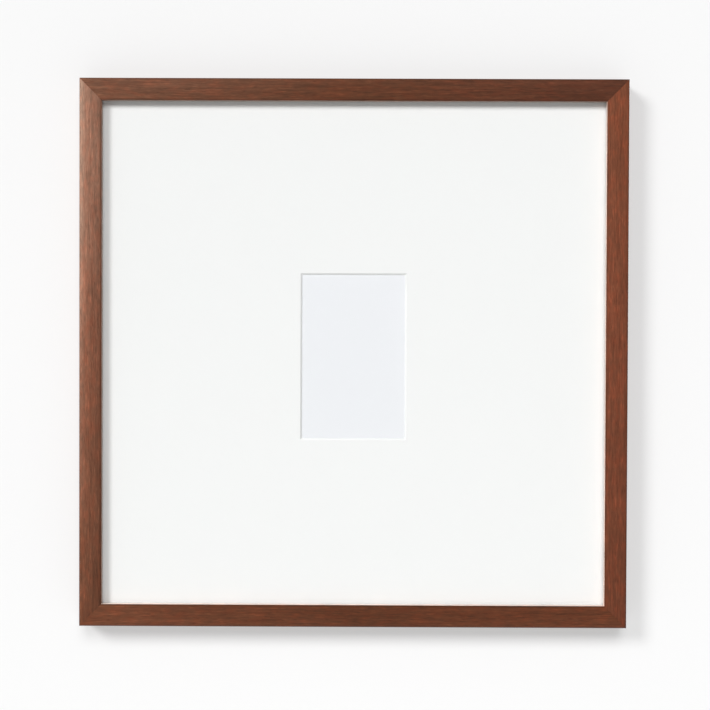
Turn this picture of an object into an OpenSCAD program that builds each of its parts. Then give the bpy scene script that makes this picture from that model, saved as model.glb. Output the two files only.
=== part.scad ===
// A square gallery frame that hangs on a wall, with a wide window mat round a small print.
// Four mitred, rabbeted members hold a package of glazing, mat, print and boards, which turn
// buttons on the back keep in. Two strap hangers with swinging rings and two bumpers meet the wall.
// Millimetres. X is to the right seen from the front, Y goes from the front to the wall, Z is up.
// The origin is on the wall's face, behind the middle of the frame.

/* [Moulding] */
// Outer width of the frame
frame_w = 457.2; // [400:0.1:900]
// Outer height of the frame
frame_h = 457.2; // [440:0.1:900]
// Width of the moulding, seen from the front
face_w = 18.6; // [18:0.1:40]
// Depth of the moulding, from its front face to its back face
frame_d = 25.4; // [22:0.1:60]
// Width of the rabbet, which is how far the lip covers the glazing
rabbet_w = 6; // [3:0.1:6]
// Radius of the eased outer edge at the front
outer_edge_r = 2; // [0.4:0.1:4]
// Radius of the eased lip edge at the front
lip_edge_r = 1; // [0.2:0.1:1.5]
// Radius of the eased outer edge at the back
back_edge_r = 0.6; // [0.2:0.1:1]

/* [Glazing package] */
// Gap that the package leaves in the rabbet, in width and in height
package_play = 2.2; // [1:0.1:3]
// Thickness of the clear glazing
glazing_t = 2; // [1.5:0.1:3]
// Thickness of the window mat
mat_t = 1.4; // [1:0.1:3]
// Gap between the window mat and the mount board, which the print and its corners share
print_gap = 0.6; // [0.5:0.05:1]
// Thickness of the mount board
mount_board_t = 1.4; // [1:0.1:3]
// Thickness of each of the two filler boards
filler_t = 4.8; // [1:0.1:5]
// Thickness of the backing board
backing_t = 3; // [2:0.1:4]
// How far the backing board lies below the back of the frame
backing_recess = 0.1; // [0.05:0.05:0.5]

/* [Window and print] */
// Width of the window, at the outer edge of its bevel
window_w = 88.9; // [60:0.1:250]
// Height of the window, at the outer edge of its bevel
window_h = 139.7; // [60:0.1:250]
// How far the middle of the window lies below the middle of the mat
window_drop = 1.6; // [0:0.1:20]
// How far the print reaches past the outer edge of the window's bevel on every side
print_overlap = 6.35; // [6:0.05:15]
// Thickness of the print
print_t = 0.25; // [0.15:0.05:0.3]
// Length of a photo corner's short sides
photo_corner_leg = 11.5; // [8:0.1:11.5]
// Height of the hinge tape between the mat and the mount board
hinge_tape_h = 15; // [10:1:25]
// How far the hinge tape stops short of the mat's sides
hinge_tape_margin = 25; // [5:1:60]

/* [Turn buttons] */
// Distance of each turn button's pivot from the nearer end of its member
button_from_corner = 88.6; // [60:0.1:100]
// Distance of each turn button's pivot from the frame's outer edge
button_inset = 6.3; // [6:0.1:6.5]
// Distance from a turn button's pivot to the middle of its tip
button_reach = 16.5; // [14:0.5:24]
// Radius of a turn button's round pivot end
button_pivot_r = 4.6; // [4:0.1:5]
// Radius of a turn button's round tip
button_tip_r = 3.1; // [2:0.1:4]
// Thickness of a turn button
button_t = 1; // [0.8:0.1:1.2]

/* [Hangers and bumpers] */
// Height of the bumpers, which is how far the frame stands off the wall
bumper_h = 4; // [4:0.1:8]
// Radius of a bumper
bumper_r = 5; // [3:0.1:5.5]
// Distance of a bumper's middle from both outer edges
bumper_inset = 6.6; // [6:0.1:8]
// Distance of the hanger rings' axis below the top of the frame
hanger_drop = 133.6; // [125:0.1:160]
// Distance of each hanger's middle from the frame's outer edge
hanger_inset = 6.6; // [6.5:0.1:6.8]
// Width of a hanger's strap
strap_w = 8; // [7:0.1:8.2]
// Thickness of the strap's metal
strap_t = 0.8; // [0.6:0.1:0.8]
// Length of the strap below the ring's axis
strap_l = 28; // [27:0.5:40]
// Radius of the ring's wire
ring_wire_r = 0.9; // [0.7:0.05:0.9]
// Outer width of the ring
ring_w = 12.4; // [12.2:0.1:12.6]
// Distance from the ring's axis to the far edge of its bow
ring_h = 12; // [10:0.5:12.5]
// Angle at which the hanging ring leans off the strap
ring_lean = 6; // [6:0.5:10]

/* [Hidden] */
$fn = 96;

// Cutting tools pass beyond the faces that they cut by this much
past = 1;
// Room between flat faces that slide over each other
slide_gap = 0.1;
// Radial room of a pin in its hole
pin_gap = 0.05;

// Planes from the wall forwards
frame_back = -bumper_h;
frame_front = frame_back - frame_d;
backing_back = frame_back - backing_recess;
backing_front = backing_back - backing_t;
rear_filler_front = backing_front - filler_t;
front_filler_front = rear_filler_front - filler_t;
mount_board_front = front_filler_front - mount_board_t;
mat_back = mount_board_front - print_gap;
mat_front = mat_back - mat_t;
glazing_front = mat_front - glazing_t;
lip_d = glazing_front - frame_front;

// The package stands on the bottom of the rabbet
package_w = frame_w - 2 * (face_w - rabbet_w) - package_play;
package_h = frame_h - 2 * (face_w - rabbet_w) - package_play;
package_bottom = -frame_h / 2 + face_w - rabbet_w;
package_middle = package_bottom + package_h / 2;
window_middle = package_middle - window_drop;

// The print lies in its paper corners, between a front ply and a back ply
print_w = window_w + 2 * print_overlap;
print_h = window_h + 2 * print_overlap;
corner_front_ply = (print_gap - print_t) * 0.6;
corner_edge = 0.3;
print_front = mat_back + corner_front_ply;
print_back = print_front + print_t;

// V nails in the back of each mitre
nail_insets = [3.2, 7.6];
nail_leg = 5.2;
nail_t = 0.6;
nail_l = 10;
nail_sunk = 0.2;

// Sides of the frame, as turns about Y from the top rail's place
top_side = 0;
right_side = 90;
bottom_side = 180;
left_side = 270;

// Screws
button_screw_r = 1.25;
button_screw_l = 12;
button_head_r = 2.8;
button_head_h = 1.3;
hanger_screw_r = 1.4;
hanger_screw_l = 14;
hanger_head_r = 2.9;
hanger_head_h = 1.3;
screw_tip_h = 2.5;
screw_tip_r = 0.3;
recess_w = 0.7;
recess_l = 3;
recess_d = 0.8;

// Hangers
loop_in_r = ring_wire_r + pin_gap;
loop_out_r = loop_in_r + strap_t;
ring_axis_y = frame_back + loop_out_r;
ring_side = ring_w / 2 - ring_wire_r;
ring_leg = ring_h - ring_w / 2;
strap_face = frame_back + 2 * strap_t;
hanger_screw_drops = [16, 23.5];

bumper_chamfer = 0.6;

function is_rail(side) = side == top_side || side == bottom_side;
function reach(side) = (is_rail(side) ? frame_h : frame_w) / 2;
function member_l(side) = is_rail(side) ? frame_w : frame_h;

// Stands a flat outline up in X and Z, between two planes in Y
module upright(front, back) {
    translate([0, back, 0])
        rotate([90, 0, 0])
            linear_extrude(height = back - front)
                children();
}

// Turns what is drawn along Z so that it points at the wall
module to_wall() {
    rotate([-90, 0, 0])
        children();
}

// What an eased corner at the outline's origin loses
module corner_waste(r) {
    difference() {
        translate([-past, -past])
            square(r + past);
        translate([r, r])
            circle(r);
    }
}

// Section of the moulding: across from the outer edge, and back from the front face
module moulding_section() {
    difference() {
        square([face_w, frame_d]);
        translate([face_w - rabbet_w, lip_d])
            square([rabbet_w + past, frame_d]);
        corner_waste(outer_edge_r);
        translate([face_w, 0])
            mirror([1, 0])
                corner_waste(lip_edge_r);
        translate([0, frame_d])
            mirror([0, 1])
                corner_waste(back_edge_r);
    }
}

// One mitred member in the top rail's place, its outer edge at a height
module mitred_member(length, height) {
    outer = length / 2 + past;
    inner = length / 2 - face_w - past;
    intersection() {
        translate([0, frame_front, height])
            rotate([0, 90, 0])
                linear_extrude(height = length + 2 * past, center = true)
                    moulding_section();
        upright(frame_front - past, frame_back + past)
            polygon([
                [-outer, height + past],
                [outer, height + past],
                [inner, height - face_w - past],
                [-inner, height - face_w - past]
            ]);
    }
}

module frame_member(side) {
    color("saddlebrown")
        difference() {
            rotate([0, side, 0])
                mitred_member(member_l(side), reach(side));
            v_nails(frame_back + past);
            turn_button_screw_places()
                pilot_hole(button_screw_r, button_screw_l);
            hanger_screw_places()
                pilot_hole(hanger_screw_r, hanger_screw_l);
        }
}

// All the V nails, two legs bent over each mitre, up to a plane in Y
module v_nails(back) {
    for (side = [0, 1], end = [0, 1], inset = nail_insets)
        mirror([side, 0, 0])
            mirror([0, 0, end])
                translate([frame_w / 2 - inset, 0, frame_h / 2 - inset])
                    upright(frame_back - nail_sunk - nail_l, back)
                        polygon([
                            [0, 0],
                            [-nail_leg, 0],
                            [-nail_leg, -nail_t],
                            [-nail_t, -nail_t],
                            [-nail_t, -nail_leg],
                            [0, -nail_leg]
                        ]);
}

module corner_v_nails() {
    color("silver")
        v_nails(frame_back - nail_sunk);
}

// A sheet that fills the rabbet and stands on its bottom wall
module package_sheet(front, thickness) {
    translate([-package_w / 2, front, package_bottom])
        cube([package_w, thickness, package_h]);
}

module glazing() {
    color([0.85, 0.93, 0.93, 0.3])
        package_sheet(glazing_front, glazing_t);
}

// The window's bevel slopes inwards at 45 degrees from the front of the mat to its foot at the back
module window_wedge(width, length) {
    foot = width / 2 - mat_t;
    linear_extrude(height = length + 4 * past, center = true)
        polygon([
            [-width / 2 - past, mat_front - past],
            [width / 2 + past, mat_front - past],
            [foot, mat_back],
            [foot, mat_back + past],
            [-foot, mat_back + past],
            [-foot, mat_back]
        ]);
}

module window_mat() {
    color("whitesmoke")
        difference() {
            package_sheet(mat_front, mat_t);
            translate([0, 0, window_middle])
                intersection() {
                    window_wedge(window_w, window_h);
                    rotate([0, 90, 0])
                        window_wedge(window_h, window_w);
                }
        }
}

module print_insert() {
    color("ghostwhite")
        translate([-print_w / 2, print_front, window_middle - print_h / 2])
            cube([print_w, print_t, print_h]);
}

// A folded paper pocket over one corner of the print; side and end are 1 or -1
module photo_corner(side, end) {
    corner_x = print_w / 2 + corner_edge;
    corner_z = print_h / 2 + corner_edge;
    color("linen")
        translate([0, 0, window_middle])
            mirror([side < 0 ? 1 : 0, 0, 0])
                mirror([0, 0, end < 0 ? 1 : 0])
                    difference() {
                        upright(mat_back, mount_board_front)
                            polygon([
                                [corner_x, corner_z],
                                [corner_x - photo_corner_leg, corner_z],
                                [corner_x, corner_z - photo_corner_leg]
                            ]);
                        translate([0, print_front, 0])
                            cube([print_w / 2, print_t, print_h / 2]);
                    }
}

// Linen tape folded double, its fold along the top of the two boards that it joins
module mat_hinge_tape() {
    fold_r = print_gap / 2;
    tape_l = package_w - 2 * hinge_tape_margin;
    tape_top = package_bottom + package_h - fold_r;
    color("antiquewhite")
        translate([0, mat_back + fold_r, tape_top])
            rotate([0, 90, 0])
                linear_extrude(height = tape_l, center = true)
                    union() {
                        circle(fold_r);
                        translate([0, -fold_r])
                            square([hinge_tape_h, print_gap]);
                    }
}

module mount_board() {
    color("white")
        package_sheet(mount_board_front, mount_board_t);
}

module front_filler_board() {
    color("gainsboro")
        package_sheet(front_filler_front, filler_t);
}

module rear_filler_board() {
    color("gainsboro")
        package_sheet(rear_filler_front, filler_t);
}

module backing_board() {
    color("tan")
        package_sheet(backing_front, backing_t);
}

// Outline round two circles, the second one further along -Y and smaller
module teardrop(pivot_r, tip_r, distance) {
    lean = asin((pivot_r - tip_r) / distance);
    circle(pivot_r);
    translate([0, -distance])
        circle(tip_r);
    polygon([
        [pivot_r * cos(lean), -pivot_r * sin(lean)],
        [tip_r * cos(lean), -distance - tip_r * sin(lean)],
        [-tip_r * cos(lean), -distance - tip_r * sin(lean)],
        [-pivot_r * cos(lean), -pivot_r * sin(lean)]
    ]);
}

// Puts what follows at a turn button's pivot; end is 1 or -1 along the member
module at_turn_button(side, end) {
    rotate([0, side, 0])
        translate([
            end * (member_l(side) / 2 - button_from_corner),
            0,
            reach(side) - button_inset
        ])
            children();
}

// A pressed steel button with a stiffening rib, pointing over the backing board
module turn_button(side, end) {
    button_front = frame_back + slide_gap;
    button_back = button_front + button_t;
    rib_r = 0.8;
    rib_h = 0.3;
    rib_start = button_head_r + 1.6;
    rib_end = button_reach - 1;
    color("silver")
        at_turn_button(side, end)
            difference() {
                union() {
                    upright(button_front, button_back)
                        teardrop(button_pivot_r, button_tip_r, button_reach);
                    upright(button_back - slide_gap, button_back + rib_h)
                        translate([0, -rib_start])
                            teardrop(rib_r, rib_r, rib_end - rib_start);
                }
                translate([0, button_front - past, 0])
                    to_wall()
                        cylinder(r = button_screw_r + pin_gap, h = button_t + 2 * past);
            }
}

module turn_button_screw_places() {
    seat = frame_back + button_t + 2 * slide_gap;
    for (side = [top_side, right_side, bottom_side, left_side], end = [-1, 1])
        at_turn_button(side, end)
            translate([0, seat, 0])
                to_wall()
                    children();
}

// The hole that a wood screw makes, below its head's seat
module pilot_hole(r, length) {
    translate([0, 0, -length])
        cylinder(r1 = screw_tip_r, r2 = r, h = screw_tip_h);
    translate([0, 0, screw_tip_h - length])
        cylinder(r = r, h = length - screw_tip_h);
}

// A wood screw with a domed head and a cross recess, its head's seat at Z = 0
module wood_screw(r, length, head_r, head_h) {
    dome_r = (head_r * head_r + head_h * head_h) / (2 * head_h);
    difference() {
        union() {
            pilot_hole(r, length);
            intersection() {
                translate([0, 0, head_h - dome_r])
                    sphere(dome_r);
                cylinder(r = head_r, h = head_h);
            }
        }
        for (turn = [0, 90])
            rotate([0, 0, turn])
                translate([-recess_l / 2, -recess_w / 2, head_h - recess_d])
                    cube([recess_l, recess_w, recess_d + past]);
    }
}

module turn_button_screws() {
    color("gold")
        turn_button_screw_places()
            wood_screw(button_screw_r, button_screw_l, button_head_r, button_head_h);
}

// Puts what follows on a hanger's middle line, level with its ring's axis; side is 1 or -1
module at_hanger(side) {
    translate([side * (frame_w / 2 - hanger_inset), 0, frame_h / 2 - hanger_drop])
        children();
}

module hanger_screw_places() {
    for (side = [-1, 1], drop = hanger_screw_drops)
        at_hanger(side)
            translate([0, strap_face, -drop])
                to_wall()
                    children();
}

// Steel strip folded double round the ring's bar, flat on the frame below it
module hanger_strap(side) {
    end_r = strap_w / 2;
    color("gray")
        difference() {
            at_hanger(side)
                intersection() {
                    rotate([90, 0, 90])
                        linear_extrude(height = strap_w, center = true)
                            strap_section();
                    upright(frame_back - past, past)
                        union() {
                            translate([0, end_r - strap_l])
                                circle(end_r);
                            translate([-end_r, end_r - strap_l])
                                square([strap_w, strap_l + strap_w]);
                        }
                }
            hanger_screw_places()
                pilot_hole(hanger_screw_r, hanger_screw_l);
        }
}

// Side view of the folded strap: across is Y, up is Z from the ring's axis
module strap_section() {
    difference() {
        union() {
            translate([ring_axis_y, 0])
                circle(loop_out_r);
            translate([frame_back, -strap_l])
                square([strap_t, strap_l]);
            translate([frame_back, -strap_l])
                square([2 * strap_t, strap_l - (loop_in_r + loop_out_r) / 2]);
        }
        translate([ring_axis_y, 0])
            circle(loop_in_r);
    }
}

// A bent wire ring: a straight bar in the strap's loop, two legs and a round bow
module hanger_ring(side) {
    color("silver")
        at_hanger(side)
            translate([0, ring_axis_y, 0])
                rotate([ring_lean, 0, 0])
                    union() {
                        rotate([0, 90, 0])
                            cylinder(r = ring_wire_r, h = 2 * ring_side, center = true);
                        for (leg = [-1, 1])
                            translate([leg * ring_side, 0, -ring_leg])
                                union() {
                                    cylinder(r = ring_wire_r, h = ring_leg);
                                    translate([0, 0, ring_leg])
                                        sphere(ring_wire_r);
                                }
                        translate([0, 0, -ring_leg])
                            rotate([90, 0, 0])
                                rotate([0, 0, 180])
                                    rotate_extrude(angle = 180)
                                        translate([ring_side, 0])
                                            circle(ring_wire_r);
                    }
}

module hanger_screws() {
    color("gold")
        hanger_screw_places()
            wood_screw(hanger_screw_r, hanger_screw_l, hanger_head_r, hanger_head_h);
}

module bumper(side) {
    color("dimgray")
        translate([
            side * (frame_w / 2 - bumper_inset),
            frame_back,
            bumper_inset - frame_h / 2
        ])
            to_wall()
                union() {
                    cylinder(r = bumper_r, h = bumper_h - bumper_chamfer);
                    translate([0, 0, bumper_h - bumper_chamfer])
                        cylinder(r1 = bumper_r, r2 = bumper_r - bumper_chamfer, h = bumper_chamfer);
                }
}

frame_member(top_side);  // top_rail
frame_member(bottom_side);  // bottom_rail
frame_member(left_side);  // left_stile
frame_member(right_side);  // right_stile
corner_v_nails();
glazing();
window_mat();
print_insert();
photo_corner(-1, 1);  // photo_corner_top_left
photo_corner(1, 1);  // photo_corner_top_right
photo_corner(-1, -1);  // photo_corner_bottom_left
photo_corner(1, -1);  // photo_corner_bottom_right
mat_hinge_tape();
mount_board();
front_filler_board();
rear_filler_board();
backing_board();
turn_button(top_side, -1);  // turn_button_top_left
turn_button(top_side, 1);  // turn_button_top_right
turn_button(right_side, -1);  // turn_button_right_upper
turn_button(right_side, 1);  // turn_button_right_lower
turn_button(bottom_side, 1);  // turn_button_bottom_left
turn_button(bottom_side, -1);  // turn_button_bottom_right
turn_button(left_side, 1);  // turn_button_left_upper
turn_button(left_side, -1);  // turn_button_left_lower
turn_button_screws();
hanger_strap(-1);  // left_hanger_strap
hanger_strap(1);  // right_hanger_strap
hanger_ring(-1);  // left_hanger_ring
hanger_ring(1);  // right_hanger_ring
hanger_screws();
bumper(-1);  // left_bumper
bumper(1);  // right_bumper
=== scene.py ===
"""A square gallery frame with a window mat round a small blank print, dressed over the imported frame.

The CAD nodes give every place and size. The four members of the moulding and the pane of glass are
rebuilt here with finer edges. All other nodes keep their own meshes and get a finish, and those of metal,
rubber and fibreboard also get eased edges. Metres, X to the right seen from the front, Y from the front
to the wall, Z up.
"""

import math

import bmesh
import bpy
from mathutils import Matrix, Vector


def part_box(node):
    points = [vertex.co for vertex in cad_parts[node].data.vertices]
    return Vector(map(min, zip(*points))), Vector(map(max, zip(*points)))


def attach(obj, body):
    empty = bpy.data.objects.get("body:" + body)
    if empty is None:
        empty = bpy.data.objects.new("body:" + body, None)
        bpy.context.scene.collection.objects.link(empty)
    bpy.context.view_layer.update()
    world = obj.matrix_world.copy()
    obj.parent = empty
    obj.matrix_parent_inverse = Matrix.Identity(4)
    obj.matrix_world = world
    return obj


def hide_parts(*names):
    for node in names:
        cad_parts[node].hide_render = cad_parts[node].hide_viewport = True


MM = 0.001
DEGREE = math.pi / 180

# Moulding details that are finer than the CAD
OUTER_EDGE_R = 2 * MM
LIP_EDGE_R = 1 * MM
BACK_EDGE_R = 0.6 * MM
ARRIS_R = 0.25 * MM
CROWN = 0.6 * MM
MITRE_GROOVE = 0.1 * MM
ARC_STEPS = 8
FACE_STEPS = 12

# Faces of the moulding that meet at less than this are shaded as one
SMOOTH_BELOW = 28 * DEGREE

# How far the tool that cuts the slots of the V nails passes the back face, and how near counts as on it
CUTTER_OVERRUN = 1 * MM
ON_FACE = 0.01 * MM

# The pane of glass: its gap to what lies before and behind it, and the width of its ground edges
PANE_GAP = 0.02 * MM
PANE_EDGE = 0.3 * MM

# How far the sharp edges of a CAD piece are rounded, by its material slot
EASED = {
    "zinc_plated_steel": 0.14 * MM,
    "nickel_plated_steel": 0.1 * MM,
    "brass_plated_screw": 0.06 * MM,
    "bumper_rubber": 0.2 * MM,
    "nail_steel": 0.05 * MM,
    "backing_fibreboard": 0.3 * MM,
}

# Colours, as screen values from 0 to 255
MAT_WHITE = (245, 245, 245)
PRINT_WHITE = (238, 239, 243)
CORNER_WHITE = (236, 232, 222)
MOUNT_WHITE = (238, 236, 228)
FOAM_WHITE = (240, 240, 236)
LINEN_WHITE = (232, 228, 216)
FLOOR_WHITE = (232, 232, 230)
FIBRE_BROWN = (142, 106, 76)
WOOD_DUST = (196, 164, 128)
# The pale colour of the painted highlight on the left stile's outer edge, towards its top
EDGE_HIGHLIGHT_COLOUR = (186, 160, 140)
RUBBER_GREY = (88, 88, 90)
RUBBER_DUST = (150, 148, 144)
NAIL_STEEL = (150, 150, 152)
NAIL_RUST = (104, 98, 92)
ZINC = (196, 200, 206)
DULL_ZINC = (150, 152, 150)
NICKEL = (206, 200, 190)
DULL_NICKEL = (170, 160, 146)
BRASS = (214, 178, 104)
DULL_BRASS = (150, 116, 66)
GLASS_CLEAR = (253, 254, 253)

# Each member: its turn about Y from the top rail's place, its tones from one end to the other (the top
# rail's from the left, and so on clockwise), partly the wood's own colour and partly painted light that makes
# them lighter towards the top left; the tone of its lip's inner wall, paler wood with painted light and a
# painted reflection of the white mat, almost white on the right stile and bottom rail that face the light and
# pale brown in painted shade on the top rail and left stile; the part by which its face is darker at the lip
# and lighter at the outer edge, painted light that falls from the left; and how strong the painted highlight
# on its outer edge is
MEMBERS = {
    "top_rail": {
        "turn": 0,
        "tones_and_light": ((114, 75, 56), (92, 54, 35), (87, 49, 34)),
        "lip_tone_and_light": (152, 132, 120),
        "light_slope": 0.02,
        "edge_highlight": 0.0,
    },
    "right_stile": {
        "turn": 90,
        "tones_and_light": ((121, 69, 47), (113, 63, 43), (102, 55, 36)),
        "lip_tone_and_light": (234, 216, 204),
        "light_slope": -0.06,
        "edge_highlight": 0.0,
    },
    "bottom_rail": {
        "turn": 180,
        "tones_and_light": ((95, 52, 32), (86, 47, 28), (106, 62, 41)),
        "lip_tone_and_light": (238, 225, 215),
        "light_slope": 0.0,
        "edge_highlight": 0.0,
    },
    "left_stile": {
        "turn": 270,
        "tones_and_light": ((97, 58, 39), (125, 80, 60), (153, 113, 93)),
        "lip_tone_and_light": (146, 116, 98),
        "light_slope": 0.26,
        "edge_highlight": 0.55,
    },
}

# Bands of a member's colour, for the painted highlight on its outer edge, the painted shade along its outer
# and inner edges, and its lip's inner wall: how far from its outer edge, its inner edge or its front each one
# starts, and how far from there it is full
HIGHLIGHT_BY_OUTER = (5.5 * MM, 0.5 * MM)
SHADE_BY_OUTER = (1.0 * MM, 0.2 * MM)
SHADE_BY_INNER = (1.9 * MM, 1.0 * MM)
LIP_WALL_BY_INNER = (0.8 * MM, 0.4 * MM)
LIP_WALL_BY_FRONT = (0.75 * MM, 1.1 * MM)

# What the wood's colour is multiplied by in the painted shade along its edges, in small pale flecks of
# painted glint, and in its red mottle and pores
EDGE_SHADE = (0.66, 0.62, 0.60, 1.0)
PAINTED_GLINT = (1.5, 1.5, 1.5, 1.0)
RED_MOTTLE = (1.12, 0.92, 0.86, 1.0)
DARK_PORE = (0.45, 0.38, 0.36, 1.0)

# How far a pattern's shift moves it along X, Y and Z, and the shift from one member's grain to the next
SHIFT_BY_AXIS = (1, 0.37, 0.71)
GRAIN_SHIFT = 5.3

# The wall behind the frame, with its own colour and glow, and the floor under it
WALL_GAP = 0.2 * MM
WALL_HALF_WIDTH = 2.4
WALL_TOP = 1.5
WALL_ALBEDO = (0.55, 0.55, 0.55, 1.0)
WALL_GLOW = 0.37
FLOOR_LEVEL = -1.25
FLOOR_HALF_WIDTH = 6
FLOOR_HALF_DEPTH = 4

# The colour of the surroundings, and how bright they are as light and as the camera sees them
STUDIO_COLOUR = (0.97, 0.98, 1.0, 1.0)
AMBIENT_LIGHT = 0.20
BACKDROP_LIGHT = 0.9

# How wide the two round lamps behind the frame are
SOFT_LAMP_WIDTH = 1.1

# The camera: its lens and sensor in millimetres, its place from the middle of the frame's front, and the
# degrees that it is turned to the left, down and about its own line of sight
LENS = 91.4
SENSOR = 36
CAMERA_RIGHT = 8.5 * MM
CAMERA_DISTANCE = 1.5
CAMERA_UP = 29.2 * MM
CAMERA_YAW = 0.274
CAMERA_DOWN = 1.158
CAMERA_ROLL = 0.213

# The Mix node's sockets for colours, which share their names with its sockets for other data
MIX_FACTOR = 0
MIX_FIRST = 6
MIX_SECOND = 7
MIX_RESULT = 2


def linear(colour):
    """A screen colour from 0 to 255 as the renderer's linear colour, with its alpha."""
    parts = []
    for value in colour:
        share = value / 255
        parts.append(share / 12.92 if share <= 0.04045 else ((share + 0.055) / 1.055) ** 2.4)
    return (*parts, 1.0)


class Finish:
    """One procedural material, with short names for the nodes that it is made of."""

    def __init__(self, name):
        self.material = bpy.data.materials.new(name)
        self.material.use_nodes = True
        self.tree = self.material.node_tree
        self.surface = self.tree.nodes["Principled BSDF"]
        self.output = self.tree.nodes["Material Output"]
        self.place = self.add("ShaderNodeTexCoord").outputs["Object"]

    def add(self, kind, **settings):
        """A new node with these settings."""
        node = self.tree.nodes.new(kind)
        for name, value in settings.items():
            setattr(node, name, value)
        return node

    def give(self, node, name, value):
        """Sets a node's input, or joins another node's output to it."""
        if isinstance(value, bpy.types.NodeSocket):
            self.tree.links.new(value, node.inputs[name])
        else:
            node.inputs[name].default_value = value

    def surface_is(self, **values):
        """Sets inputs of the surface shader; an underscore stands for a space."""
        for name, value in values.items():
            self.give(self.surface, name.replace("_", " "), value)

    def axes(self):
        """The object's X, Y and Z coordinates."""
        parts = self.add("ShaderNodeSeparateXYZ")
        self.give(parts, "Vector", self.place)
        return parts.outputs["X"], parts.outputs["Y"], parts.outputs["Z"]

    def scaled(self, size, shift=0.0, turn=0):
        """The object's coordinates, turned about Y and shifted, in units of a pattern's size."""
        rotate = self.add("ShaderNodeVectorRotate", rotation_type="Y_AXIS")
        self.give(rotate, "Vector", self.place)
        self.give(rotate, "Angle", turn * DEGREE)
        mapping = self.add("ShaderNodeMapping")
        self.give(mapping, "Vector", rotate.outputs["Vector"])
        self.give(mapping, "Scale", [1 / s for s in size])
        self.give(mapping, "Location", [shift * part for part in SHIFT_BY_AXIS])
        return mapping.outputs["Vector"]

    def noise(self, size, shift=0.0, detail=2.0, distortion=0.0, turn=0):
        """Cloudy noise from 0 to 1 whose features are about this size in X, Y and Z."""
        texture = self.add("ShaderNodeTexNoise")
        self.give(texture, "Vector", self.scaled(size, shift, turn))
        self.give(texture, "Scale", 1.0)
        self.give(texture, "Detail", detail)
        self.give(texture, "Distortion", distortion)
        return texture.outputs["Fac"]

    def cells(self, size, shift=0.0):
        """Distance from 0 to about 1 to the nearest of many scattered points."""
        texture = self.add("ShaderNodeTexVoronoi")
        self.give(texture, "Vector", self.scaled(size, shift))
        self.give(texture, "Scale", 1.0)
        return texture.outputs["Distance"]

    def spread(self, value, low, high, to_low=0.0, to_high=1.0):
        """The value's part between low and high, stretched to the range of the last two."""
        node = self.add("ShaderNodeMapRange")
        self.give(node, "Value", value)
        self.give(node, "From Min", low)
        self.give(node, "From Max", high)
        self.give(node, "To Min", to_low)
        self.give(node, "To Max", to_high)
        return node.outputs["Result"]

    def math(self, operation, first, second):
        """Two values joined by an operation."""
        node = self.add("ShaderNodeMath", operation=operation)
        self.give(node, 0, first)
        self.give(node, 1, second)
        return node.outputs["Value"]

    def plus(self, first, second):
        """The sum of two values."""
        return self.math("ADD", first, second)

    def minus(self, first, second):
        """What is left of a value when another one is taken away."""
        return self.math("SUBTRACT", first, second)

    def times(self, first, second):
        """The product of two values."""
        return self.math("MULTIPLY", first, second)

    def mix(self, factor, first, second, blend="MIX"):
        """Two colours mixed."""
        node = self.add("ShaderNodeMix", data_type="RGBA", blend_type=blend)
        self.give(node, MIX_FACTOR, factor)
        self.give(node, MIX_FIRST, first)
        self.give(node, MIX_SECOND, second)
        return node.outputs[MIX_RESULT]

    def filtered(self, colour, by, factor):
        """The colour multiplied by another one, as far as the factor says."""
        return self.mix(factor, colour, self.mix(1.0, colour, by, "MULTIPLY"))

    def tinted(self, colour, value, amount):
        """The colour made lighter and darker by this amount as the value goes round 0.5."""
        grey = self.spread(value, 0.25, 0.75, 1 - amount, 1 + amount)
        return self.mix(1.0, colour, grey, "MULTIPLY")

    def ramp(self, value, colours):
        """Screen colours, evenly spaced, as the value goes from 0 to 1."""
        node = self.add("ShaderNodeValToRGB")
        self.give(node, "Fac", value)
        marks = node.color_ramp.elements
        while len(marks) < len(colours):
            marks.new(0.5)
        for number, colour in enumerate(colours):
            marks[number].position = number / (len(colours) - 1)
            marks[number].color = linear(colour)
        return node.outputs["Color"]

    def bump(self, height, depth):
        """Gives the surface relief of this depth, in metres."""
        node = self.add("ShaderNodeBump")
        self.give(node, "Height", height)
        self.give(node, "Distance", depth)
        self.give(node, "Strength", 1.0)
        self.surface_is(Normal=node.outputs["Normal"])
        return self.material

    def let_through(self, amount):
        """Makes the surface clear as far as the amount says, on top of what it lets through already."""
        clear = self.add("ShaderNodeBsdfTransparent")
        choice = self.add("ShaderNodeMixShader")
        joined = self.output.inputs["Surface"].links[0].from_socket
        self.give(choice, 0, amount)
        self.give(choice, 1, joined)
        self.give(choice, 2, clear.outputs["BSDF"])
        self.give(self.output, "Surface", choice.outputs["Shader"])


def tones_with_painted_light(finish, length, width, look, shift):
    """A member's tones from end to end, partly its own colour and partly painted light, with a painted light
    slope across its face and a painted highlight on its outer edge.
    """
    x, _, z = finish.axes()
    outer = length / 2
    wander = finish.noise((60 * MM, 9 * MM, 9 * MM), shift + 3, detail=1)
    along = finish.plus(finish.spread(x, -outer, outer), finish.spread(wander, 0, 1, -0.1, 0.1))
    # Painted light: the face lighter across on the side towards the light
    slope = finish.spread(z, outer - width, outer, 1 - look["light_slope"], 1 + look["light_slope"])
    colour = finish.mix(1.0, finish.ramp(along, look["tones_and_light"]), slope, "MULTIPLY")
    # Painted highlight: a pale band along the outer edge, strongest towards the member's far end
    start, full = HIGHLIGHT_BY_OUTER
    highlight = finish.spread(z, outer - start, outer - full, 0, look["edge_highlight"])
    highlight = finish.times(highlight, finish.spread(along, 0.2, 0.95))
    return finish.mix(highlight, colour, linear(EDGE_HIGHLIGHT_COLOUR))


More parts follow.
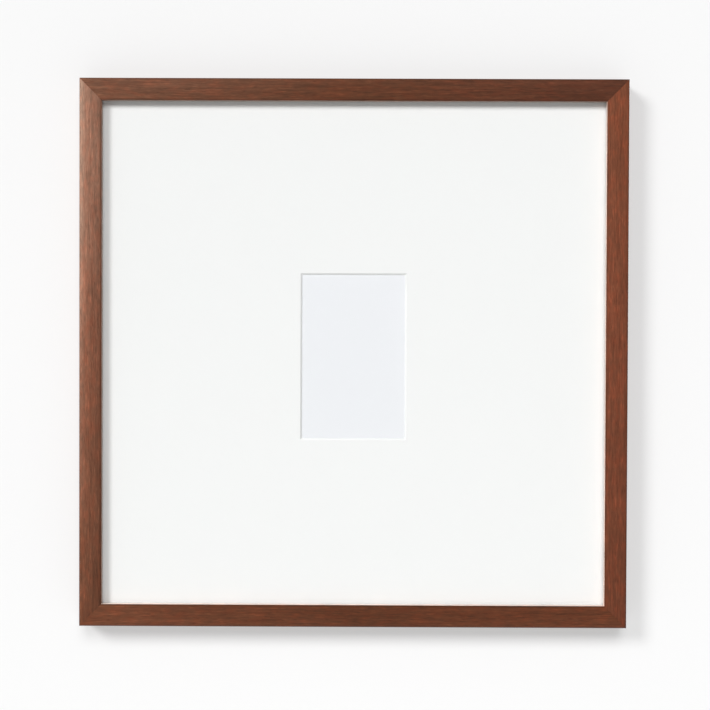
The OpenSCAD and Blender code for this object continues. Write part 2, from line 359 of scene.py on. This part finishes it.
def edge_shaded(finish, colour, outer, inner):
    """The colour with painted shade along the outer and the inner edge of a member's face."""
    z = finish.axes()[2]
    start, full = SHADE_BY_INNER
    by_inner = finish.spread(z, inner + start, inner + full)
    start, full = SHADE_BY_OUTER
    by_outer = finish.spread(z, outer - start, outer - full)
    # Painted shade: the face darker along both of its rounded edges
    return finish.filtered(colour, EDGE_SHADE, finish.times(finish.plus(by_inner, by_outer), 0.8))


def lip_walled(finish, colour, front, inner, tone):
    """The colour with the inner wall of a member's lip, behind its rounded edge, in its own tone, which holds
    painted light and shade.
    """
    _, y, z = finish.axes()
    start, full = LIP_WALL_BY_FRONT
    behind_edge = finish.spread(y, front + start, front + full)
    start, full = LIP_WALL_BY_INNER
    at_wall = finish.spread(z, inner + start, inner + full)
    # Painted light and shade: the lip's wall almost white on members whose wall faces the light, pale brown
    # on those in shade
    return finish.mix(finish.times(at_wall, behind_edge), colour, linear(tone))


def grained(finish, colour, shift):
    """Gives the surface this colour with the figure, streaks and pores of walnut, small pale flecks of
    painted glint, and satin gloss.
    """
    figure = finish.noise((90 * MM, 6 * MM, 6 * MM), shift, detail=2, distortion=0.6)
    mottle = finish.noise((11 * MM, 4 * MM, 4 * MM), shift + 7, detail=2, distortion=0.4)
    streaks = finish.noise((26 * MM, 1.1 * MM, 1.1 * MM), shift + 11, detail=3, distortion=0.3)
    glints = finish.noise((8 * MM, 0.9 * MM, 0.9 * MM), shift + 23, detail=2)
    pores = finish.noise((6 * MM, 0.3 * MM, 0.3 * MM), shift + 31, detail=1)
    fibre = finish.noise((9 * MM, 0.12 * MM, 0.12 * MM), shift + 43, detail=2)
    open_pores = finish.spread(pores, 0.58, 0.70)
    for pattern, amount in ((figure, 0.12), (mottle, 0.10), (streaks, 0.24), (fibre, 0.07)):
        colour = finish.tinted(colour, pattern, amount)
    # Painted glints: small pale flecks where the satin finish would catch the light
    colour = finish.filtered(colour, PAINTED_GLINT, finish.spread(glints, 0.52, 0.72, 0, 0.75))
    colour = finish.filtered(colour, RED_MOTTLE, finish.spread(mottle, 0.42, 0.66, 0, 0.8))
    colour = finish.filtered(colour, DARK_PORE, finish.times(open_pores, 0.7))

    height = finish.minus(fibre, finish.times(open_pores, 1.4))
    height = finish.plus(height, finish.times(streaks, 0.8))
    finish.surface_is(
        Base_Color=colour,
        Roughness=finish.spread(streaks, 0.3, 0.7, 0.42, 0.54),
        Specular_IOR_Level=0.35,
        Specular_Tint=(1.0, 0.72, 0.55, 1.0),
        Coat_Weight=0.2,
        Coat_Roughness=0.3,
    )
    return finish.bump(height, 0.02 * MM)


def wood(name, length, width, front, look, shift):
    """Stained walnut for a member in the top rail's place, with its grain along X, and with light and shade
    painted into its colour.
    """
    outer = length / 2
    inner = outer - width
    finish = Finish(name)
    colour = tones_with_painted_light(finish, length, width, look, shift)
    colour = edge_shaded(finish, colour, outer, inner)
    colour = lip_walled(finish, colour, front, inner, look["lip_tone_and_light"])
    return grained(finish, colour, shift)


def board(name, colour, grain, relief, roughness, speckle):
    """Card, paper or board: a felted surface with cloudy tone and fine fibres."""
    finish = Finish(name)
    clouds = finish.noise((60 * MM,) * 3, 5, detail=2)
    fibres = finish.noise((grain * 4, grain, grain * 1.5), 17, detail=4)
    tooth = finish.noise((grain * 0.6,) * 3, 29, detail=3)
    tone = finish.tinted(linear(colour), clouds, speckle * 0.4)
    tone = finish.tinted(tone, fibres, speckle)
    finish.surface_is(
        Base_Color=tone,
        Roughness=finish.spread(tooth, 0.3, 0.7, roughness - 0.06, roughness + 0.06),
        Specular_IOR_Level=0.35,
    )
    return finish.bump(finish.plus(fibres, tooth), relief)


def fibreboard():
    """Brown fibreboard: pressed shreds of wood that lie in all directions, with pale dust among them."""
    finish = Finish("backing_fibreboard")
    clouds = finish.noise((70 * MM,) * 3, 3, detail=3)
    dust = finish.noise((0.5 * MM,) * 3, 27, detail=2)
    colour = finish.tinted(linear(FIBRE_BROWN), clouds, 0.06)
    relief = dust
    turns = (20, 75, 140)
    for number, turn in enumerate(turns):
        shreds = finish.noise((2.8 * MM, 1 * MM, 0.6 * MM), 9 + number, detail=3, distortion=1.5, turn=turn)
        colour = finish.tinted(colour, shreds, 0.13)
        relief = finish.plus(relief, shreds)
    dusty = finish.mix(finish.spread(dust, 0.62, 0.72, 0, 0.4), colour, linear(WOOD_DUST))
    finish.surface_is(
        Base_Color=dusty,
        Roughness=finish.spread(relief, 1.2, 2.8, 0.52, 0.68),
        Specular_IOR_Level=0.4,
    )
    return finish.bump(relief, 0.03 * MM)


def foam_board():
    """White foam board: smooth card faces over an open-celled core."""
    finish = Finish("foam_board")
    bubbles = finish.cells((0.5 * MM,) * 3, 7)
    clouds = finish.noise((30 * MM,) * 3, 11)
    colour = finish.tinted(linear(FOAM_WHITE), clouds, 0.02)
    colour = finish.tinted(colour, bubbles, 0.03)
    finish.surface_is(Base_Color=colour, Roughness=0.8, Subsurface_Weight=0.05)
    return finish.bump(bubbles, 0.04 * MM)


def linen():
    """Gummed linen tape: a plain weave of fine threads."""
    finish = Finish("linen_tape")
    thread = 0.35 * MM
    warp = finish.add("ShaderNodeTexWave", bands_direction="X")
    weft = finish.add("ShaderNodeTexWave", bands_direction="Z")
    for texture in (warp, weft):
        finish.give(texture, "Vector", finish.scaled((thread * 4,) * 3, 2))
        finish.give(texture, "Scale", 1.3)
        finish.give(texture, "Distortion", 0.6)
    weave = finish.times(warp.outputs["Fac"], weft.outputs["Fac"])
    slubs = finish.noise((6 * MM, 0.4 * MM, 0.4 * MM), 13, detail=2)
    colour = finish.tinted(linear(LINEN_WHITE), slubs, 0.05)
    finish.surface_is(Base_Color=colour, Roughness=0.9, Sheen_Weight=0.15)
    return finish.bump(weave, 0.06 * MM)


def metal(name, colour, dull_colour, roughness, relief, patch):
    """Metal with drawn marks along X, scuffs, and patches about this size where it is duller."""
    finish = Finish(name)
    clouds = finish.noise((patch,) * 3, 5, detail=3)
    drawn = finish.noise((3 * MM, 0.12 * MM, 0.12 * MM), 13, detail=2)
    scuffs = finish.noise((0.8 * MM, 0.8 * MM, 0.25 * MM), 21, detail=3, distortion=1.0)
    dull = finish.times(finish.spread(clouds, 0.42, 0.68), 0.5)
    tone = finish.mix(dull, finish.tinted(linear(colour), drawn, 0.05), linear(dull_colour))
    rough = finish.plus(finish.spread(clouds, 0.3, 0.7, -0.06, 0.10), roughness)
    rough = finish.plus(rough, finish.spread(scuffs, 0.5, 0.75, 0, 0.12))
    finish.surface_is(Base_Color=tone, Metallic=1.0, Roughness=rough)
    return finish.bump(finish.plus(drawn, scuffs), relief)


def rubber():
    """Grey rubber, a little cloudy and dusty."""
    finish = Finish("bumper_rubber")
    dust = finish.noise((0.9 * MM,) * 3, 3, detail=4)
    clouds = finish.noise((4 * MM,) * 3, 9, detail=2)
    colour = finish.tinted(linear(RUBBER_GREY), clouds, 0.08)
    dusty = finish.mix(finish.spread(dust, 0.56, 0.74, 0, 0.35), colour, linear(RUBBER_DUST))
    finish.surface_is(
        Base_Color=dusty,
        Roughness=finish.spread(dust, 0.35, 0.7, 0.42, 0.66),
        Specular_IOR_Level=0.5,
        Subsurface_Weight=0.08,
    )
    return finish.bump(dust, 0.03 * MM)


def glazing_glass():
    """Clear picture glass, which lets the lamps through without bending their light."""
    finish = Finish("clear_glazing")
    haze = finish.noise((120 * MM,) * 3, 3, detail=2)
    finish.surface_is(
        Base_Color=linear(GLASS_CLEAR),
        Transmission_Weight=1.0,
        Roughness=0.0,
        IOR=1.47,
        Specular_IOR_Level=0.5,
    )
    finish.bump(haze, 0.002 * MM)
    path = finish.add("ShaderNodeLightPath")
    for kind in ("Is Diffuse Ray", "Is Shadow Ray"):
        finish.let_through(path.outputs[kind])
    return finish.material


def wall_paint():
    """Matt white wall paint, seen from the front only. Its own glow stands for light round the room."""
    finish = Finish("wall_paint")
    roller = finish.noise((2.5 * MM,) * 3, 3, detail=3)
    clouds = finish.noise((400 * MM,) * 3, 9, detail=2)
    finish.surface_is(
        Base_Color=finish.tinted(WALL_ALBEDO, clouds, 0.006),
        Roughness=0.95,
        Specular_IOR_Level=0.0,
        Emission_Color=(1.0, 1.0, 1.0, 1.0),
        Emission_Strength=WALL_GLOW,
    )
    finish.bump(roller, 0.02 * MM)
    finish.let_through(finish.add("ShaderNodeNewGeometry").outputs["Backfacing"])
    return finish.material


def floor_paint():
    """Plain pale floor."""
    finish = Finish("pale_floor")
    clouds = finish.noise((300 * MM,) * 3, 5, detail=3)
    finish.surface_is(
        Base_Color=finish.tinted(linear(FLOOR_WHITE), clouds, 0.01),
        Roughness=0.85,
        Specular_IOR_Level=0.2,
    )
    return finish.material


def placed(name, data):
    """A new object in the scene for this mesh, lamp or camera."""
    piece = bpy.data.objects.new(name, data)
    bpy.context.scene.collection.objects.link(piece)
    return piece


def arc(middle, radius, start):
    """Points on a quarter turn round a middle, from an angle in degrees."""
    points = []
    for step in range(ARC_STEPS + 1):
        angle = (start + 90 * step / ARC_STEPS) * DEGREE
        x = middle[0] + radius * math.cos(angle)
        y = middle[1] + radius * math.sin(angle)
        points.append(Vector((x, y)))
    return points


def crowned(point, width):
    """The point of a flat face moved back, so that the face is highest in its middle."""
    from_middle = 2 * point.x / width - 1
    radius = OUTER_EDGE_R if from_middle < 0 else LIP_EDGE_R
    fall = CROWN * from_middle**2 * (1 - point.y / radius)
    return Vector((point.x, point.y + fall))


def moulding_outline(width, depth, rabbet, lip):
    """Section of the moulding: across from the outer edge, and back from the front face."""
    face = arc((OUTER_EDGE_R, OUTER_EDGE_R), OUTER_EDGE_R, 180)
    for step in range(1, FACE_STEPS):
        across = OUTER_EDGE_R + (width - OUTER_EDGE_R - LIP_EDGE_R) * step / FACE_STEPS
        face.append(Vector((across, 0)))
    face += arc((width - LIP_EDGE_R, LIP_EDGE_R), LIP_EDGE_R, 270)
    outline = [crowned(point, width) for point in face]
    outline += arc((width - ARRIS_R, lip - ARRIS_R), ARRIS_R, 0)
    outline.append(Vector((width - rabbet, lip)))
    outline += arc((width - rabbet - ARRIS_R, depth - ARRIS_R), ARRIS_R, 0)
    outline += arc((BACK_EDGE_R, depth - BACK_EDGE_R), BACK_EDGE_R, 90)
    return outline


def inset(outline, distance):
    """The outline moved inwards by a distance."""
    moved = []
    for index, point in enumerate(outline):
        before = (point - outline[index - 1]).normalized()
        after = (outline[(index + 1) % len(outline)] - point).normalized()
        inward = Vector((-before.y - after.y, before.x + after.x)).normalized()
        moved.append(point + inward * distance)
    return moved


def member_mesh(name, length, outline, front):
    """One mitred member in the top rail's place. Each mitre is eased, so a joint shows a fine groove."""
    slim = inset(outline, MITRE_GROOVE)
    rings = [(slim, -1, 0.0), (outline, -1, MITRE_GROOVE)]
    rings += [(outline, 1, MITRE_GROOVE), (slim, 1, 0.0)]
    shape = bmesh.new()
    loops = []
    for section, side, short in rings:
        loop = []
        for across, back in section:
            x = side * (length / 2 - across - short)
            loop.append(shape.verts.new((x, front + back, length / 2 - across)))
        loops.append(loop)
    count = len(outline)
    for first, second in zip(loops, loops[1:]):
        for i in range(count):
            j = (i + 1) % count
            shape.faces.new((first[i], first[j], second[j], second[i]))
    shape.faces.new(loops[0])
    shape.faces.new(list(reversed(loops[-1])))
    bmesh.ops.recalc_face_normals(shape, faces=shape.faces)
    mesh = bpy.data.meshes.new(name)
    shape.to_mesh(mesh)
    shape.free()
    return mesh


def nail_cutter(nails):
    """The V nails' own mesh, drawn out past the back face, as the tool that cuts their slots."""
    cutter = placed("nail_cutter", nails.data.copy())
    shape = bmesh.new()
    shape.from_mesh(cutter.data)
    bmesh.ops.remove_doubles(shape, verts=shape.verts, dist=ON_FACE)
    back = max(v.co.y for v in shape.verts)
    for v in shape.verts:
        if v.co.y > back - ON_FACE:
            v.co.y += CUTTER_OVERRUN
    bmesh.ops.recalc_face_normals(shape, faces=shape.faces)
    shape.to_mesh(cutter.data)
    shape.free()
    return cutter


def cut(piece, cutter):
    """Takes the cutter out of the piece for good."""
    slots = piece.modifiers.new("slots", "BOOLEAN")
    slots.operation = "DIFFERENCE"
    slots.solver = "EXACT"
    slots.object = cutter
    bpy.context.view_layer.update()
    evaluated = piece.evaluated_get(bpy.context.evaluated_depsgraph_get())
    result = bpy.data.meshes.new_from_object(evaluated)
    piece.modifiers.clear()
    piece.data = result


def moulding(frame):
    """The four mitred members, in place of the CAD ones."""
    low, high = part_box("top_rail")
    glass_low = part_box("glazing")[0]
    length = high.x - low.x
    width = high.z - low.z
    depth = high.y - low.y
    lip = glass_low.y - low.y
    rabbet = width - (high.z + glass_low.z)
    outline = moulding_outline(width, depth, rabbet, lip)
    cutter = nail_cutter(frame["nodes"]["corner_v_nails"])
    for number, (node, look) in enumerate(MEMBERS.items()):
        piece = placed(node + "_wood", member_mesh(node + "_wood", length, outline, low.y))
        piece.matrix_world = Matrix.Rotation(look["turn"] * DEGREE, 4, "Y")
        cut(piece, cutter)
        for polygon in piece.data.polygons:
            polygon.use_smooth = True
        piece.data.set_sharp_from_angle(angle=SMOOTH_BELOW)
        walnut = wood(node + "_walnut", length, width, low.y, look, GRAIN_SHIFT * number)
        piece.data.materials.clear()
        piece.data.materials.append(walnut)
        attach(piece, "frame")
        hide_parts(node)
    bpy.data.objects.remove(cutter)


def pane():
    """The glazing, a hair thinner than its room so that it doesn't touch the mat, with ground edges."""
    low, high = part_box("glazing")
    middle = (low + high) / 2
    size = high - low - Vector((0, 2 * PANE_GAP, 0))
    shape = bmesh.new()
    bmesh.ops.create_cube(shape, size=1, matrix=Matrix.Translation(middle) @ Matrix.Diagonal((*size, 1)))
    bmesh.ops.bevel(shape, geom=shape.edges[:], offset=PANE_EDGE, segments=2, affect="EDGES")
    mesh = bpy.data.meshes.new("glazing_pane")
    shape.to_mesh(mesh)
    shape.free()
    mesh.materials.append(glazing_glass())
    piece = placed("glazing_pane", mesh)
    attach(piece, "frame")
    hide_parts("glazing")


def ease(piece, width):
    """Rounds a CAD piece's sharp edges a little, and shades its faces evenly."""
    weld = piece.modifiers.new("weld", "WELD")
    weld.merge_threshold = 0.002 * MM
    flat = piece.modifiers.new("flat", "DECIMATE")
    flat.decimate_type = "DISSOLVE"
    flat.angle_limit = 0.5 * DEGREE
    round_off = piece.modifiers.new("ease", "BEVEL")
    round_off.width = width
    round_off.segments = 2
    round_off.limit_method = "ANGLE"
    round_off.angle_limit = 40 * DEGREE
    for polygon in piece.data.polygons:
        polygon.use_smooth = True
    piece.modifiers.new("even", "WEIGHTED_NORMAL")


def slot_of(material):
    """The slot that a material is for: its name, without the number that Blender may add."""
    return material.name.split(".")[0]


def cad_finishes():
    """The finishes of the CAD nodes that are still shown, by material slot."""
    made = (
        metal("nail_steel", NAIL_STEEL, NAIL_RUST, roughness=0.42, relief=0.01 * MM, patch=5 * MM),
        board("mat_board", MAT_WHITE, grain=0.35 * MM, relief=0.02 * MM, roughness=0.9, speckle=0.006),
        board("print_paper", PRINT_WHITE, grain=0.2 * MM, relief=0.006 * MM, roughness=0.6, speckle=0.004),
        board("corner_paper", CORNER_WHITE, grain=0.3 * MM, relief=0.02 * MM, roughness=0.85, speckle=0.02),
        linen(),
        board("mount_card", MOUNT_WHITE, grain=0.4 * MM, relief=0.02 * MM, roughness=0.9, speckle=0.015),
        foam_board(),
        fibreboard(),
        metal("zinc_plated_steel", ZINC, DULL_ZINC, roughness=0.34, relief=0.008 * MM, patch=5 * MM),
        metal("nickel_plated_steel", NICKEL, DULL_NICKEL, roughness=0.26, relief=0.0015 * MM, patch=9 * MM),
        metal("brass_plated_screw", BRASS, DULL_BRASS, roughness=0.28, relief=0.005 * MM, patch=3 * MM),
        rubber(),
    )
    return {slot_of(material): material for material in made}


def dress(frame):
    """Gives every CAD node that is still shown the finish that its slot names, and eases the edges of some.
    """
    finishes = cad_finishes()
    for piece in frame["nodes"].values():
        if piece.hide_render:
            continue
        name = slot_of(piece.data.materials[0])
        piece.data.materials[0] = finishes[name]
        if name in EASED:
            ease(piece, EASED[name])


def plane(name, corners, material):
    """A flat stage piece with these corners."""
    mesh = bpy.data.meshes.new(name)
    mesh.from_pydata(corners, [], [(0, 1, 2, 3)])
    mesh.materials.append(material)
    piece = placed(name, mesh)
    return piece


def room():
    """The wall behind the frame, seen from the front only, and a pale floor under it."""
    x, y = WALL_HALF_WIDTH, WALL_GAP
    corners = [(-x, y, FLOOR_LEVEL), (x, y, FLOOR_LEVEL), (x, y, WALL_TOP), (-x, y, WALL_TOP)]
    wall = plane("wall", corners, wall_paint())
    wall.visible_shadow = False
    wall.visible_diffuse = False
    wall.visible_glossy = False
    x, y = FLOOR_HALF_WIDTH, FLOOR_HALF_DEPTH
    corners = [(-x, -y, FLOOR_LEVEL), (x, -y, FLOOR_LEVEL), (x, y, FLOOR_LEVEL), (-x, y, FLOOR_LEVEL)]
    plane("floor", corners, floor_paint())


def lamp(name, kind, power, heading):
    """A lamp at the origin that shines along a heading."""
    data = bpy.data.lights.new(name, kind)
    data.energy = power
    piece = placed(name, data)
    piece.rotation_euler = Vector(heading).to_track_quat("-Z", "Y").to_euler()
    return piece


def sun(name, power, heading, angle):
    """A far lamp whose shadows are as soft as this angle in degrees makes them."""
    piece = lamp(name, "SUN", power, heading)
    piece.data.angle = angle * DEGREE
    return piece


def soft_lamp(name, power, place):
    """A wide round lamp that shines from its place to the middle of the frame."""
    piece = lamp(name, "AREA", power, -Vector(place))
    piece.location = place
    piece.data.shape = "DISK"
    piece.data.size = SOFT_LAMP_WIDTH
    return piece


def lights():
    """A key from the upper left, a soft fill from above the camera, and two soft lamps for the back. The
    fill and the left one show in no reflection."""
    sun("key", 1.73, (0.77, 1.0, -0.58), 18)
    fill = sun("fill", 1.26, (-0.05, 1.0, -0.56), 25)
    fill.visible_glossy = False
    back_left = soft_lamp("back_left", 34, (-1.5, 1.7, 1.2))
    back_left.visible_glossy = False
    soft_lamp("back_right", 24, (1.6, 1.5, 0.5))


def surroundings():
    """A pale studio all round, brighter to the camera than as light."""
    world = bpy.data.worlds.new("studio")
    bpy.context.scene.world = world
    world.use_nodes = True
    tree = world.node_tree
    seen = tree.nodes.new("ShaderNodeLightPath")
    strength = tree.nodes.new("ShaderNodeMapRange")
    strength.inputs["To Min"].default_value = AMBIENT_LIGHT
    strength.inputs["To Max"].default_value = BACKDROP_LIGHT
    tree.links.new(seen.outputs["Is Camera Ray"], strength.inputs["Value"])
    background = tree.nodes["Background"]
    background.inputs["Color"].default_value = STUDIO_COLOUR
    tree.links.new(strength.outputs["Result"], background.inputs["Strength"])


def camera(front):
    """Looks at the frame almost square on, from a little above and to the right of its middle."""
    data = bpy.data.cameras.new("camera")
    data.sensor_width = SENSOR
    data.lens = LENS
    eye = placed("camera", data)
    place = Vector((CAMERA_RIGHT, front - CAMERA_DISTANCE, CAMERA_UP))
    yaw = Matrix.Rotation(CAMERA_YAW * DEGREE, 4, "Z")
    tilt = Matrix.Rotation((90 - CAMERA_DOWN) * DEGREE, 4, "X")
    roll = Matrix.Rotation(CAMERA_ROLL * DEGREE, 4, "Z")
    eye.matrix_world = Matrix.Translation(place) @ (yaw @ tilt @ roll)
    bpy.context.scene.camera = eye


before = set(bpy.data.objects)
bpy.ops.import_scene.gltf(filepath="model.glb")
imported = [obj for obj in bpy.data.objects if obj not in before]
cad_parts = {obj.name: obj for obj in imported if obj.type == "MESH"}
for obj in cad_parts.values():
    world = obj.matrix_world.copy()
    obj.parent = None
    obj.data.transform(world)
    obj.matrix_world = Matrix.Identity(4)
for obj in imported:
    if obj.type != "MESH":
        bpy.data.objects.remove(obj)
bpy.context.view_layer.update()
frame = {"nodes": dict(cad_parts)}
moulding(frame)
pane()
dress(frame)
room()
lights()
surroundings()
camera(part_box("top_rail")[0].y)
bpy.context.scene.view_settings.view_transform = "Standard"
